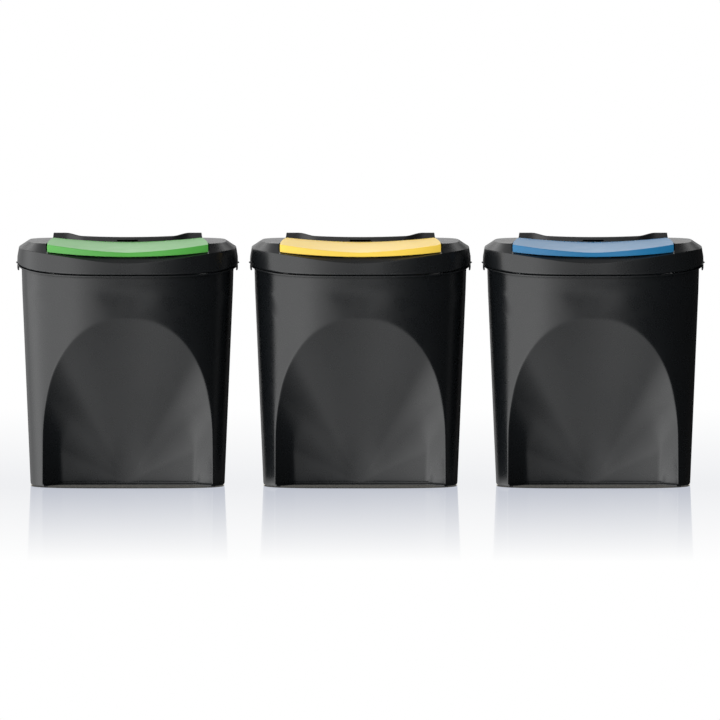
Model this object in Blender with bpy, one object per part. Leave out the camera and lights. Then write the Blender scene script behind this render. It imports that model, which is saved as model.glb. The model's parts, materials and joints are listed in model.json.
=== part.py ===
"""Recycling station: three free-standing sorting bins, side by side.

Each bin is a tub with a scooped front, a dished snap-on lid, a coloured flap
hinged on two pins behind the lid's opening, and four small feet.
+X is right, -Y is the front, +Z is up; the origin is on the floor in the middle.
"""
import math

import bpy
from mathutils import Vector
from mathutils.geometry import tessellate_polygon

# ---- station ---------------------------------------------------------------
BIN_PITCH = 0.408
BINS = (
    ("left", -BIN_PITCH, (0.085, 0.400, 0.065)),
    ("middle", 0.0, (0.960, 0.660, 0.090)),
    ("right", BIN_PITCH, (0.006, 0.180, 0.400)),
)

# ---- tub -------------------------------------------------------------------
FLOOR_Z = 0.002
TUB_BASE_HALF_WIDTH = 0.170
TUB_TOP_HALF_WIDTH = 0.186
TUB_BASE_HALF_DEPTH = 0.126
TUB_TOP_HALF_DEPTH = 0.139
TUB_WALL = 0.0026
BASE_FILLET = 0.005
BASE_FILLET_RINGS = ((0.0014, 0.0014), (0.0045, 0.0))
FRONT_POWER = 3.2
REAR_POWER = 5.0
PANEL_FRACTION = 0.945
PANEL_TOP_Z = 0.340

# ---- rim, which dips towards the front ---------------------------------------
RIM_HALF_WIDTH = 0.1934
RIM_HALF_DEPTH = 0.1465
RIM_FRONT_Z = 0.375
RIM_RISE = 0.0225
RIM_RISE_LENGTH = 0.240
FLANGE_TOP_BELOW_RIM = 0.0010

# ---- scooped recess in the front wall -----------------------------------------
ARCH_HALF_WIDTH = 0.149
ARCH_SPRING_Z = 0.085
ARCH_TOP_Z = 0.299
ARCH_POWER = 2.3
RECESS_BACK_Y = -0.033
RECESS_POWER = 0.62
RECESS_BELLY = 0.005
RECESS_BELLY_Z = (0.235, 0.160)
RECESS_WALL_SHARE = (0.80, 0.50)
RECESS_WALL_Z = (0.085, 0.235)
RECESS_CROWN = 0.010
RECESS_CROWN_SHARE = 0.45

# ---- carrying grips under the flange -------------------------------------------
GRIP_HALF_LENGTH = 0.040
GRIP_THICKNESS = 0.0035
GRIP_LOW_Z = 0.3785
GRIP_CHAMFER = (0.001, 0.004)
GRIP_TOP_GAP = 0.0003
NUB_REACH = 0.0026
NUB_HALF_LENGTH = 0.010
NUB_ROOT = 0.001

# ---- lid -------------------------------------------------------------------
LID_WALL = 0.0024
SKIRT_TOP_INSET = 0.0030
SKIRT_HEIGHT_FRONT = 0.020
SKIRT_HEIGHT_CORNER = 0.0325
SKIRT_CORNER_X = 0.155
SKIRT_CORNER_Y = -0.115
CROWN_LEVEL_Z = 0.4165
PLATEAU_Z = 0.4285
PLATEAU_INSET = 0.018
LID_FRONT_X = 0.146
OPENING_HALF_WIDTH = 0.1430
OPENING_START_Y = -0.093
OPENING_STEP = 0.002
OPENING_TURN_Y = -0.118
LIP_GAP_CENTRE = 0.0045
LIP_GAP_END = 0.0100
LIP_WIDTH = 0.004
LIP_ABOVE_HEM = 0.002
LIP_SLOPE = 0.95

# ---- ridge across the lid --------------------------------------------------------
RIDGE_HALF_WIDTH = 0.1315
RIDGE_TOP_Z = 0.443
RIDGE_SCOOP = 0.0075
SCOOP_START_X = 0.078
SCOOP_END_X = 0.108
SCOOP_DISH = 0.24
RIDGE_FACE_Y_CENTRE = -0.014
RIDGE_FACE_Y_END = -0.0075
RIDGE_BACK_Y = 0.016
RIDGE_SKIRT_Z = 0.406
RIDGE_TAPER = 0.002
RIDGE_BACK_SLOPE = (0.008, 0.0012)
RIDGE_CREST_Y = 0.0015
SLOT_HALF_WIDTH = 0.0185
SLOT_HEIGHT = 0.0032
SLOT_ABOVE_FLAP = 0.0007
SLOT_REACH = (-0.006, 0.008)

# ---- flap and its hinge ------------------------------------------------------------
FLAP_WALL = 0.0024
FLAP_FRONT_HALF_WIDTH = 0.141
FLAP_REAR_Y = -0.0225
FLAP_REAR_Z = (0.4268, 0.4350)
FLAP_REAR_POWER = 1.7
FLAP_CREASE_Z = (0.4138, 0.4274)
FLAP_CREASE_POWER = 1.5
FLAP_HEM_Z = (0.4071, 0.4143)
FLAP_HEM_POWER = 2.0
FLAP_TOP_POWER = 1.25
FLAP_LIP_FRONT = 0.0055
FLAP_LIP_REAR = 0.002
FLAP_LIP_FLARE = 0.0004
FLAP_INSET = 0.0105
FLAP_FACE_LEAN = 0.003
FLAP_ROLL = (math.radians(30.0), math.radians(58.0))
HINGE_Y = -0.021
HINGE_Z = 0.4240
PIN_RADIUS = 0.0022
BORE_RADIUS = 0.0026
EAR_X = (0.1175, 0.1215)
LUG_X = (0.1235, 0.1275)
PIN_X = (0.1150, 0.1290)
PIN_BORE_OVERRUN = 0.003
EAR_RADIUS = 0.0050
EAR_WEB = (0.0002, -0.011)
EAR_TOP_Z = 0.4330
LUG_RADIUS = 0.0058
LUG_STEM = 0.0035
LUG_ARM = 0.004
LUG_ROOT = 0.0012
LUG_LOW = 0.0006

# ---- feet -----------------------------------------------------------------------
FOOT_RADIUS = 0.007
FOOT_HEIGHT = 0.0017
FOOT_CHAMFER = 0.0006
FOOT_PLACES = {
    "front_left": (-0.147, -0.058),
    "front_right": (0.147, -0.058),
    "rear_left": (-0.138, 0.098),
    "rear_right": (0.138, 0.098),
}


# ---- small helpers -----------------------------------------------------------
def smooth(value):
    """0 below 0, 1 above 1, and an S between."""
    value = min(max(value, 0.0), 1.0)
    return value * value * (3.0 - 2.0 * value)


def mix(start, end, share):
    return start + (end - start) * share


def resample(points, count):
    """count + 1 points, evenly spaced along a polyline."""
    lengths = [0.0]
    for before, after in zip(points, points[1:]):
        lengths.append(lengths[-1] + math.dist(before, after))
    result = []
    segment = 0
    for index in range(count + 1):
        target = lengths[-1] * index / count
        while segment < len(points) - 2 and lengths[segment + 1] < target:
            segment += 1
        span = lengths[segment + 1] - lengths[segment]
        share = min((target - lengths[segment]) / span, 1.0)
        before, after = points[segment], points[segment + 1]
        result.append(tuple(mix(a, b, share) for a, b in zip(before, after)))
    return result


def front_y(x, half_width, half_depth):
    """The front of an outline at x."""
    ratio = min(abs(x) / half_width, 1.0)
    return -half_depth * (1.0 - ratio ** FRONT_POWER) ** (1.0 / FRONT_POWER)


def curve_point(angle, half_width, half_depth, power):
    """A point of a superellipse, for an angle from 0 to a right angle."""
    across = math.cos(angle) ** (2.0 / power)
    along = math.sin(angle) ** (2.0 / power)
    return half_width * across, half_depth * along


def side_and_back(half_width, half_depth, start_x, count):
    """From start_x on the front, round the right side, the back and the left side."""
    steps = 120
    first = math.acos(min(start_x / half_width, 1.0) ** (FRONT_POWER / 2.0))
    right = []
    for step in range(steps):
        x, y = curve_point(first * (1.0 - step / steps), half_width, half_depth, FRONT_POWER)
        right.append((x, -y))
    for step in range(steps + 1):
        angle = 0.5 * math.pi * step / steps
        right.append(curve_point(min(angle, 0.5 * math.pi), half_width, half_depth, REAR_POWER))
    left = [(-x, y) for x, y in reversed(right[:-1])]
    return resample(right + left, count)


def rim_z(y):
    """Height of the joint between tub and lid."""
    share = min(max((y + RIM_HALF_DEPTH) / RIM_RISE_LENGTH, 0.0), 1.0)
    return RIM_FRONT_Z + RIM_RISE * (1.0 - (1.0 - share) ** 2)


def scoop(x):
    """0 at the dished middle of the ridge, 1 at its shoulders."""
    dish = SCOOP_DISH * min(abs(x) / SCOOP_START_X, 1.0) ** 2
    return mix(dish, 1.0, smooth((abs(x) - SCOOP_START_X) / (SCOOP_END_X - SCOOP_START_X)))


def plastic(name, colour, roughness=0.42):
    material = bpy.data.materials.new(name)
    material.use_nodes = True
    shader = material.node_tree.nodes["Principled BSDF"]
    shader.inputs["Base Color"].default_value = (*colour, 1.0)
    shader.inputs["Roughness"].default_value = roughness
    shader.inputs["Metallic"].default_value = 0.0
    return material


def mesh_object(name, vertices, faces, material=None, location=(0.0, 0.0, 0.0)):
    """Vertices are in the bin's own frame; the object's origin goes to location."""
    mesh = bpy.data.meshes.new(name)
    local = [tuple(c - o for c, o in zip(vertex, location)) for vertex in vertices]
    mesh.from_pydata(local, [], faces)
    mesh.validate()
    thing = bpy.data.objects.new(name, mesh)
    bpy.context.collection.objects.link(thing)
    thing.location = location
    if material is not None:
        mesh.materials.append(material)
    return thing


def ring_faces(lower, upper):
    """Quads between two closed rings of vertex numbers."""
    count = len(lower)
    return [
        (lower[i], lower[(i + 1) % count], upper[(i + 1) % count], upper[i])
        for i in range(count)
    ]


def strip_faces(lower, upper):
    """Quads between two open rows of vertex numbers."""
    return [(lower[i], lower[i + 1], upper[i + 1], upper[i]) for i in range(len(lower) - 1)]


def solidify(thing, thickness):
    shell = thing.modifiers.new("wall", "SOLIDIFY")
    shell.thickness = thickness
    shell.offset = -1.0
    shell.use_even_offset = True
    shell.use_quality_normals = True


def boolean(thing, other, operation):
    other.hide_render = True
    other.display_type = "WIRE"
    step = thing.modifiers.new(other.name, "BOOLEAN")
    step.operation = operation
    step.solver = "MANIFOLD"
    step.object = other


def plate_x(name, outline, x_range, location=(0.0, 0.0, 0.0)):
    """An outline in the YZ plane, anticlockwise seen from +X, thickened along X."""
    low, high = sorted(x_range)
    vertices = [(low, y, z) for y, z in outline] + [(high, y, z) for y, z in outline]
    count = len(outline)
    near = list(range(count))
    far = list(range(count, 2 * count))
    faces = ring_faces(near, far) + [tuple(reversed(near)), tuple(far)]
    return mesh_object(name, vertices, faces, location=location)


def hinge_circle(radius, sides=16):
    """A circle round the hinge axis, for pins and their bores."""
    turns = [2.0 * math.pi * (side + 0.5) / sides for side in range(sides)]
    return [(HINGE_Y + radius * math.cos(turn), HINGE_Z + radius * math.sin(turn)) for turn in turns]


# ---- tub ------------------------------------------------------------------------
def tub_half_width(z):
    return mix(TUB_BASE_HALF_WIDTH, TUB_TOP_HALF_WIDTH, z / RIM_FRONT_Z)


def tub_half_depth(z):
    return mix(TUB_BASE_HALF_DEPTH, TUB_TOP_HALF_DEPTH, z / RIM_FRONT_Z)


def wall_y(x, z):
    """Front wall of the tub outside the recess."""
    return front_y(x, tub_half_width(z), tub_half_depth(z))


def arch_points(bottom_z, count):
    """The edge of the recess, from its bottom right over the top to its bottom left."""
    right = [(ARCH_HALF_WIDTH, bottom_z)]
    steps = 80
    for step in range(steps + 1):
        angle = 0.5 * math.pi * step / steps
        x, rise = curve_point(angle, ARCH_HALF_WIDTH, ARCH_TOP_Z - ARCH_SPRING_Z, ARCH_POWER)
        right.append((x, ARCH_SPRING_Z + rise))
    left = [(-x, z) for x, z in reversed(right[:-1])]
    return resample(right + left, count)


def recess_back_y(z):
    """The back of the recess leans forward until it meets the wall at the arch's top."""
    share = min(max(z / ARCH_TOP_Z, 0.0), 1.0)
    belly_start, belly_end = RECESS_BELLY_Z
    belly = RECESS_BELLY * smooth((belly_start - z) / (belly_start - belly_end))
    return mix(RECESS_BACK_Y, wall_y(0.0, ARCH_TOP_Z), share ** RECESS_POWER) + belly


def recess_ray_y(share, edge, bottom_z):
    """Depth along a ray from the bottom middle (share 0) to an arch point (share 1)."""
    residual = recess_back_y(edge[1]) - wall_y(*edge)
    wall_low, wall_high = RECESS_WALL_Z
    lift = smooth((edge[1] - wall_low) / (wall_high - wall_low))
    foot = mix(*RECESS_WALL_SHARE, lift)
    side = max(share - foot, 0.0) / (1.0 - foot)
    crown = min(RECESS_CROWN, RECESS_CROWN_SHARE * residual)
    back = recess_back_y(bottom_z + share * (edge[1] - bottom_z))
    return back - (residual - crown) * side - crown * share * share


def tub_surface():
    """The outer skin: floor, fillet, walls with the recess, neck and flange."""
    bottom_z = FLOOR_Z + BASE_FILLET
    inside = (0.40, 0.65, 0.80, 0.90, 1.0)
    outside = (0.45, 1.0)
    side_rows = 7
    top_columns = 12
    around = 32
    ray_count = 2 * side_rows + top_columns

    vertices = []
    faces = []

    def add(x, y, z):
        vertices.append((x, y, z))
        return len(vertices) - 1

    levels = [mix(bottom_z, PANEL_TOP_Z, row / side_rows) for row in range(side_rows + 1)]
    panel_x = [PANEL_FRACTION * tub_half_width(z) for z in levels]
    top_x = [panel_x[-1] * (1.0 - 2.0 * i / top_columns) for i in range(top_columns + 1)]
    border = list(zip(panel_x, levels))
    border += [(x, PANEL_TOP_Z) for x in top_x[1:-1]]
    border += [(-x, z) for x, z in reversed(list(zip(panel_x, levels)))]

    # front panel: rays from the bottom middle, over the arch, to the panel's border
    hub = add(0.0, recess_back_y(bottom_z), bottom_z)
    rays = []
    for edge, end in zip(arch_points(bottom_z, ray_count), border):
        ray = [hub]
        for share in inside:
            x = share * edge[0]
            z = bottom_z + share * (edge[1] - bottom_z)
            ray.append(add(x, max(recess_ray_y(share, edge, bottom_z), wall_y(x, z)), z))
        for share in outside:
            x = mix(edge[0], end[0], share)
            z = mix(edge[1], end[1], share)
            ray.append(add(x, wall_y(x, z), z))
        rays.append(ray)
    for right, left in zip(rays, rays[1:]):
        faces.append((hub, right[1], left[1]))
        for step in range(1, len(right) - 1):
            faces.append((right[step], right[step + 1], left[step + 1], left[step]))

    # sides and back, row by row beside the panel
    rows = []
    for index, z in enumerate(levels):
        path = side_and_back(tub_half_width(z), tub_half_depth(z), panel_x[index], around)
        row = [rays[index][-1]]
        row += [add(x, y, z) for x, y in path[1:-1]]
        row.append(rays[ray_count - index][-1])
        rows.append(row)
    for lower, upper in zip(rows, rows[1:]):
        faces += strip_faces(lower, upper)

    # whole rings above the panel, rising to the dipping rim
    front_row = [ray[-1] for ray in rays[side_rows:ray_count - side_rows + 1]]
    previous = list(reversed(front_row)) + rows[-1][1:-1]
    neck_drop = FLANGE_TOP_BELOW_RIM + TUB_WALL

    def upper_ring(half_width, half_depth, share):
        edge_x = PANEL_FRACTION * half_width
        front_x = [mix(-edge_x, edge_x, i / top_columns) for i in range(top_columns + 1)]
        plan = [(x, front_y(x, half_width, half_depth)) for x in front_x]
        plan += side_and_back(half_width, half_depth, edge_x, around)[1:-1]
        return [add(x, y, mix(PANEL_TOP_Z, rim_z(y) - neck_drop, share)) for x, y in plan]

    for share in (0.5, 1.0):
        z = mix(PANEL_TOP_Z, RIM_FRONT_Z, share)
        ring = upper_ring(tub_half_width(z), tub_half_depth(z), share)
        faces += ring_faces(previous, ring)
        previous = ring
    flange = upper_ring(RIM_HALF_WIDTH, RIM_HALF_DEPTH, 1.0)
    faces += ring_faces(previous, flange)

    # fillet and floor
    base = list(reversed(rays[-1])) + rays[0][1:] + rows[0][1:-1]
    above = base
    for inset, height in BASE_FILLET_RINGS:
        ring = inset_ring(vertices, base, inset, FLOOR_Z + height, add)
        faces += ring_faces(ring, above)
        above = ring
    rim = [Vector(vertices[number]) for number in above]
    for corners in tessellate_polygon([rim]):
        a, b, c = (rim[i] for i in corners)
        facing_down = (b - a).cross(c - a).z < 0.0
        corners = corners if facing_down else tuple(reversed(corners))
        faces.append(tuple(above[i] for i in corners))
    return vertices, faces


def inset_ring(vertices, ring, distance, z, add):
    """A copy of a ring moved inwards in plan, at height z."""
    count = len(ring)
    result = []
    for i in range(count):
        before = vertices[ring[i - 1]]
        here = vertices[ring[i]]
        after = vertices[ring[(i + 1) % count]]
        first = (here[0] - before[0], here[1] - before[1])
        second = (after[0] - here[0], after[1] - here[1])
        length_1 = math.hypot(*first)
        length_2 = math.hypot(*second)
        normal = (
            -first[1] / length_1 - second[1] / length_2,
            first[0] / length_1 + second[0] / length_2,
        )
        scale = distance * 2.0 / max(normal[0] ** 2 + normal[1] ** 2, 1.0)
        result.append(add(here[0] + normal[0] * scale, here[1] + normal[1] * scale, z))
    return result


def swept_solid(name, sections, reverse):
    """A closed solid through equal cross-sections, one after another."""
    size = len(sections[0])
    vertices = [point for section in sections for point in section]
    rings = [list(range(i * size, (i + 1) * size)) for i in range(len(sections))]
    faces = []
    for before, after in zip(rings, rings[1:]):
        faces += ring_faces(before, after)
    faces += [tuple(reversed(rings[0])), tuple(rings[-1])]
    if reverse:
        faces = [tuple(reversed(face)) for face in faces]
    return mesh_object(name, vertices, faces)


def grip_solid(name, side):
    """A hand grip that hangs from the flange half-way along one side, with a level lower edge."""
    stations = 4
    outer = RIM_HALF_WIDTH
    inner = outer - GRIP_THICKNESS
    chamfer_x, chamfer_z = GRIP_CHAMFER
    sections = []
    for station in range(stations + 1):
        y = mix(-GRIP_HALF_LENGTH, GRIP_HALF_LENGTH, station / stations)
        top = rim_z(y) - FLANGE_TOP_BELOW_RIM - GRIP_TOP_GAP
        profile = (
            (inner, top),
            (inner, GRIP_LOW_Z),
            (outer - chamfer_x, GRIP_LOW_Z),
            (outer, GRIP_LOW_Z + chamfer_z),
            (outer, top),
        )
        sections.append([(side * x, y, z) for x, z in profile])
    return swept_solid(name, sections, side > 0)


def nub_solid(name, side):
    """A small stop that stands out from the flange's edge over the middle of a grip."""
    top = rim_z(0.0) - FLANGE_TOP_BELOW_RIM - GRIP_TOP_GAP
    low = top - NUB_REACH
    inner = RIM_HALF_WIDTH - NUB_ROOT
    sections = []
    for along, reach in ((-1.0, 0.3), (-0.6, 1.0), (0.6, 1.0), (1.0, 0.3)):
        outer = RIM_HALF_WIDTH + reach * NUB_REACH
        y = along * NUB_HALF_LENGTH
        profile = ((inner, top), (inner, low), (outer, low), (outer, top))
        sections.append([(side * x, y, z) for x, z in profile])
    return swept_solid(name, sections, side > 0)


# ---- lid ------------------------------------------------------------------------
def flap_hem(x):
    """Lowest front edge of the flap: its y and z on the outer face."""
    y = front_y(x, RIM_HALF_WIDTH, RIM_HALF_DEPTH) + FLAP_INSET
    share = min(abs(x) / FLAP_FRONT_HALF_WIDTH, 1.0)
    return y, mix(*FLAP_HEM_Z, share ** FLAP_HEM_POWER)


def skirt_top_z(x, y):
    """The crown of the skirt: level at the sides and back, dipping at the front."""
    away = max(smooth(abs(x) / SKIRT_CORNER_X), smooth(1.0 - y / SKIRT_CORNER_Y))
    height = mix(SKIRT_HEIGHT_FRONT, SKIRT_HEIGHT_CORNER, away)
    return min(rim_z(y) + height, CROWN_LEVEL_Z)


def opening_half_width(y):
    """The lid's opening narrows towards the ridge."""
    share = min(max((y - OPENING_TURN_Y) / (FLAP_REAR_Y - OPENING_TURN_Y), 0.0), 1.0)
    return mix(OPENING_HALF_WIDTH, RIDGE_HALF_WIDTH, share ** 2)


def ridge_top_z(x):
    return RIDGE_TOP_Z - RIDGE_SCOOP * (1.0 - scoop(x))


def ridge_face_y(x):
    return mix(RIDGE_FACE_Y_CENTRE, RIDGE_FACE_Y_END, scoop(x))


def lid_surface():
    """The outer skin: skirt, sloping shoulder, plateau with its opening, and ridge."""
    front_columns = 14
    corner_columns = 3
    side_columns = 5
    back_columns = 12
    vertices = []
    faces = []

    def add(x, y, z):
        vertices.append((x, y, z))
        return len(vertices) - 1

    half_x = OPENING_HALF_WIDTH - 0.0004
    xs = [mix(-half_x, half_x, i / front_columns) for i in range(front_columns + 1)]
    xs = [-LID_FRONT_X, -OPENING_HALF_WIDTH] + xs + [OPENING_HALF_WIDTH, LID_FRONT_X]
    rest = 2 * (corner_columns + side_columns + 1) + back_columns

    def plan(inset):
        half_width = RIM_HALF_WIDTH - inset
        half_depth = RIM_HALF_DEPTH - inset
        front = [(x, front_y(x, half_width, half_depth)) for x in xs]
        return front + side_and_back(half_width, half_depth, LID_FRONT_X, rest)[1:-1]

    hem = [add(x, y, rim_z(y)) for x, y in plan(0.0)]
    crown = [add(x, y, skirt_top_z(x, y)) for x, y in plan(SKIRT_TOP_INSET)]
    faces += ring_faces(hem, crown)

    shoulder = []
    for index, (x, y) in enumerate(plan(SKIRT_TOP_INSET + PLATEAU_INSET)):
        over_opening = 2 <= index < len(xs) - 2
        if not over_opening:
            shoulder.append(add(x, y, PLATEAU_Z))
            continue
        _, crown_y, crown_z = vertices[crown[index]]
        hem_y, hem_z = flap_hem(x)
        gap = mix(LIP_GAP_CENTRE, LIP_GAP_END, smooth(abs(x) / OPENING_HALF_WIDTH))
        lip_y = hem_y + FLAP_WALL + gap
        lip_z = min(hem_z + LIP_ABOVE_HEM, crown_z + (lip_y - crown_y) * LIP_SLOPE)
        shoulder.append(add(x, lip_y, lip_z))
    faces += ring_faces(crown, shoulder)

    # inner border of the plateau: opening sides, ridge ends and ridge back
    side_path = []
    for step in range(25):
        y = mix(OPENING_START_Y, RIDGE_FACE_Y_END, step / 24)
        side_path.append((opening_half_width(y), y))
    right = resample(side_path, corner_columns + side_columns)
    right.append((RIDGE_HALF_WIDTH, RIDGE_BACK_Y))
    back = [
        (mix(RIDGE_HALF_WIDTH, -RIDGE_HALF_WIDTH, i / back_columns), RIDGE_BACK_Y)
        for i in range(back_columns + 1)
    ]
    left = [(-x, y) for x, y in reversed(right)]
    side_numbers = [add(x, y, PLATEAU_Z) for x, y in right + back[1:-1] + left]

    # front border: the lip under the flap's edge, closed onto the first side points
    inner = [side_numbers[-1], add(xs[1], OPENING_START_Y - OPENING_STEP, PLATEAU_Z)]
    for index in range(2, len(xs) - 2):
        x, lip_y, lip_z = vertices[shoulder[index]]
        inner.append(add(x, lip_y + LIP_WIDTH, lip_z))
    inner += [add(xs[-2], OPENING_START_Y - OPENING_STEP, PLATEAU_Z), side_numbers[0]]
    ring = inner + side_numbers[1:-1]
    for i in range(len(ring)):
        after = (i + 1) % len(ring)
        corners = []
        for number in (shoulder[i], shoulder[after], ring[after], ring[i]):
            if number not in corners:
                corners.append(number)
        faces.append(tuple(corners))

    # ridge: rows from its back base over the top to the hanging front wall
    first_back = corner_columns + side_columns + 1
    base_row = side_numbers[first_back:first_back + back_columns + 1]
    slope_y, slope_z = RIDGE_BACK_SLOPE
    crest_back, crest_front, low = [], [], []
    for x, _ in back:
        top_x = x * (1.0 - RIDGE_TAPER / RIDGE_HALF_WIDTH)
        top_z = ridge_top_z(top_x)
        crest_back.append(add(top_x, RIDGE_BACK_Y - slope_y, top_z - slope_z))
        crest_front.append(add(top_x, ridge_face_y(top_x) + RIDGE_CREST_Y, top_z))
        low.append(add(x, ridge_face_y(x), RIDGE_SKIRT_Z))
    rows = [base_row, crest_back, crest_front, low]
    for lower, upper in zip(rows, rows[1:]):
        faces += strip_faces(lower, upper)
    right_front = side_numbers[first_back - 1]
    left_front = side_numbers[first_back + back_columns + 1]
    faces.append((right_front, base_row[0], rows[1][0], rows[2][0], low[0]))
    faces.append((left_front, low[-1], rows[2][-1], rows[1][-1], base_row[-1]))
    return vertices, faces


# ---- flap -----------------------------------------------------------------------
def flap_surface():
    """The outer skin: front face, dished top and a rear edge rolled round the hinge."""
    columns = 16
    top_rows = 5
    side_gap = OPENING_HALF_WIDTH - FLAP_FRONT_HALF_WIDTH
    vertices = []
    faces = []

    def add(x, y, z):
        vertices.append((x, y, z))
        return len(vertices) - 1

    across = [mix(-1.0, 1.0, column / columns) for column in range(columns + 1)]
    hem = [(side * FLAP_FRONT_HALF_WIDTH, *flap_hem(side * FLAP_FRONT_HALF_WIDTH)) for side in across]
    rows = [hem]
    for row in range(top_rows + 1):
        share = row / top_rows
        points = []
        for side, (_, hem_y, _) in zip(across, hem):
            crease_z = mix(*FLAP_CREASE_Z, abs(side) ** FLAP_CREASE_POWER)
            rear_z = mix(*FLAP_REAR_Z, abs(side) ** FLAP_REAR_POWER)
            y = mix(hem_y + FLAP_FACE_LEAN, FLAP_REAR_Y, share)
            z = mix(crease_z, rear_z, 1.0 - (1.0 - share) ** FLAP_TOP_POWER)
            points.append((side * (opening_half_width(y) - side_gap), y, z))
        rows.append(points)
    for roll in FLAP_ROLL:
        points = []
        for x, y, z in rows[top_rows + 1]:
            rise, back = z - HINGE_Z, y - HINGE_Y
            turned_y = HINGE_Y + back * math.cos(roll) + rise * math.sin(roll)
            turned_z = HINGE_Z + rise * math.cos(roll) - back * math.sin(roll)
            points.append((x, turned_y, turned_z))
        rows.append(points)

    # each top row also gets a lip, bent down at both of its ends
    numbers = []
    for row, points in enumerate(rows):
        line = [add(*point) for point in points]
        if 0 < row <= top_rows + 1:
            drop = mix(FLAP_LIP_FRONT, FLAP_LIP_REAR, (row - 1) / top_rows)
            x, y, z = points[-1]
            line.insert(0, add(-x - FLAP_LIP_FLARE, y, z - drop))
            line.append(add(x + FLAP_LIP_FLARE, y, z - drop))
        numbers.append(line)
    first = numbers[0]
    faces += strip_faces(first, numbers[1][1:-1])
    faces.append((numbers[1][0], first[0], numbers[1][1]))
    faces.append((first[-1], numbers[1][-1], numbers[1][-2]))
    for lower, upper in zip(numbers[1:top_rows + 1], numbers[2:top_rows + 2]):
        faces += strip_faces(lower, upper)
    faces += strip_faces(numbers[top_rows + 1][1:-1], numbers[top_rows + 2])
    for lower, upper in zip(numbers[top_rows + 2:], numbers[top_rows + 3:]):
        faces += strip_faces(lower, upper)
    return vertices, faces


def knuckle_outline(radius, start, end, corners, sides=12):
    """A round eye on the hinge axis, from one angle to another, and the corners of its web."""
    turns = [mix(start, end, side / (sides - 1)) for side in range(sides)]
    points = [(HINGE_Y + radius * math.cos(turn), HINGE_Z + radius * math.sin(turn)) for turn in turns]
    return points + list(corners)


def ear_outline():
    """The flap's ear: an eye with a web up to the flap's underside."""
    corners = [(HINGE_Y + y, EAR_TOP_Z) for y in EAR_WEB]
    return knuckle_outline(EAR_RADIUS, -math.pi, 0.40 * math.pi, corners)


def lug_outline():
    """The lid's lug: an eye on a stem that turns back to the ridge's hanging wall."""
    back = RIDGE_FACE_Y_END + LUG_ROOT
    low = RIDGE_SKIRT_Z + LUG_LOW
    corners = (
        (HINGE_Y - LUG_STEM, low),
        (back, low),
        (back, low + LUG_ARM),
        (HINGE_Y + LUG_STEM, low + LUG_ARM),
    )
    return knuckle_outline(LUG_RADIUS, math.radians(-52.0), math.radians(232.0), corners)


# ---- one bin ----------------------------------------------------------------------
def build_bin(place, offset_x, flap_colour):
    grey = plastic(place + "_grey_plastic", (0.0095, 0.0105, 0.0112), 0.31)
    colour = plastic(place + "_flap_plastic", flap_colour, 0.34)
    dark = plastic(place + "_dark_plastic", (0.012, 0.012, 0.013), 0.5)
    hinge = (0.0, HINGE_Y, HINGE_Z)

    tub = mesh_object(place + "_tub", *tub_surface(), grey)
    lid = mesh_object(place + "_lid", *lid_surface(), grey)
    flap = mesh_object(place + "_flap", *flap_surface(), colour, hinge)
    solidify(tub, TUB_WALL)
    solidify(lid, LID_WALL)
    solidify(flap, FLAP_WALL)
    things = [tub, lid, flap]
    for side, word in ((-1, "left"), (1, "right")):
        grip = grip_solid(f"{place}_guide_grip_{word}", side)
        nub = nub_solid(f"{place}_guide_nub_{word}", side)
        boolean(tub, grip, "UNION")
        boolean(tub, nub, "UNION")

        bore_x = [side * (PIN_X[0] - PIN_BORE_OVERRUN), side * (PIN_X[1] + PIN_BORE_OVERRUN)]
        lug = plate_x(f"{place}_guide_lug_{word}", lug_outline(), [side * x for x in LUG_X])
        ear = plate_x(f"{place}_guide_ear_{word}", ear_outline(), [side * x for x in EAR_X])
        bore = plate_x(f"{place}_guide_bore_{word}", hinge_circle(BORE_RADIUS), bore_x)
        boolean(lid, lug, "UNION")
        boolean(flap, ear, "UNION")
        boolean(lid, bore, "DIFFERENCE")
        boolean(flap, bore, "DIFFERENCE")

        pin_x = [side * x for x in PIN_X]
        pin = plate_x(f"{place}_hinge_pin_{word}", hinge_circle(PIN_RADIUS), pin_x, hinge)
        pin.data.materials.append(dark)
        things += [grip, nub, lug, ear, bore, pin]
    slot = slot_cutter(place + "_guide_slot")
    boolean(lid, slot, "DIFFERENCE")
    things.append(slot)
    for word, (x, y) in FOOT_PLACES.items():
        foot = foot_pad(f"{place}_foot_{word}", x, y)
        foot.data.materials.append(dark)
        things.append(foot)
    for thing in things:
        thing.location.x += offset_x


def slot_cutter(name):
    """A box through the ridge's front wall, just above the flap."""
    low = FLAP_REAR_Z[0] + SLOT_ABOVE_FLAP
    high = low + SLOT_HEIGHT
    front, back = (RIDGE_FACE_Y_CENTRE + reach for reach in SLOT_REACH)
    outline = ((front, low), (back, low), (back, high), (front, high))
    return plate_x(name, outline, (-SLOT_HALF_WIDTH, SLOT_HALF_WIDTH))


def foot_pad(name, x, y, sides=14):
    """A round rubber pad with a chamfered lower edge."""
    vertices = []
    levels = ((FOOT_RADIUS - FOOT_CHAMFER, 0.0), (FOOT_RADIUS, FOOT_CHAMFER), (FOOT_RADIUS, FOOT_HEIGHT))
    for radius, z in levels:
        for side in range(sides):
            angle = 2.0 * math.pi * side / sides
            vertices.append((x + radius * math.cos(angle), y + radius * math.sin(angle), z))
    rings = [list(range(i * sides, (i + 1) * sides)) for i in range(3)]
    faces = ring_faces(rings[0], rings[1]) + ring_faces(rings[1], rings[2])
    faces += [tuple(reversed(rings[0])), tuple(rings[2])]
    return mesh_object(name, vertices, faces)


def clear_scene():
    for thing in list(bpy.data.objects):
        bpy.data.objects.remove(thing, do_unlink=True)


def main():
    clear_scene()
    for place, offset_x, flap_colour in BINS:
        build_bin(place, offset_x, flap_colour)


main()
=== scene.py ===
"""Recycling station: the looks of three sorting bins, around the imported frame."""
import json
import math

import bpy
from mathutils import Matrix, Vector
from mathutils.geometry import tessellate_polygon


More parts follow.
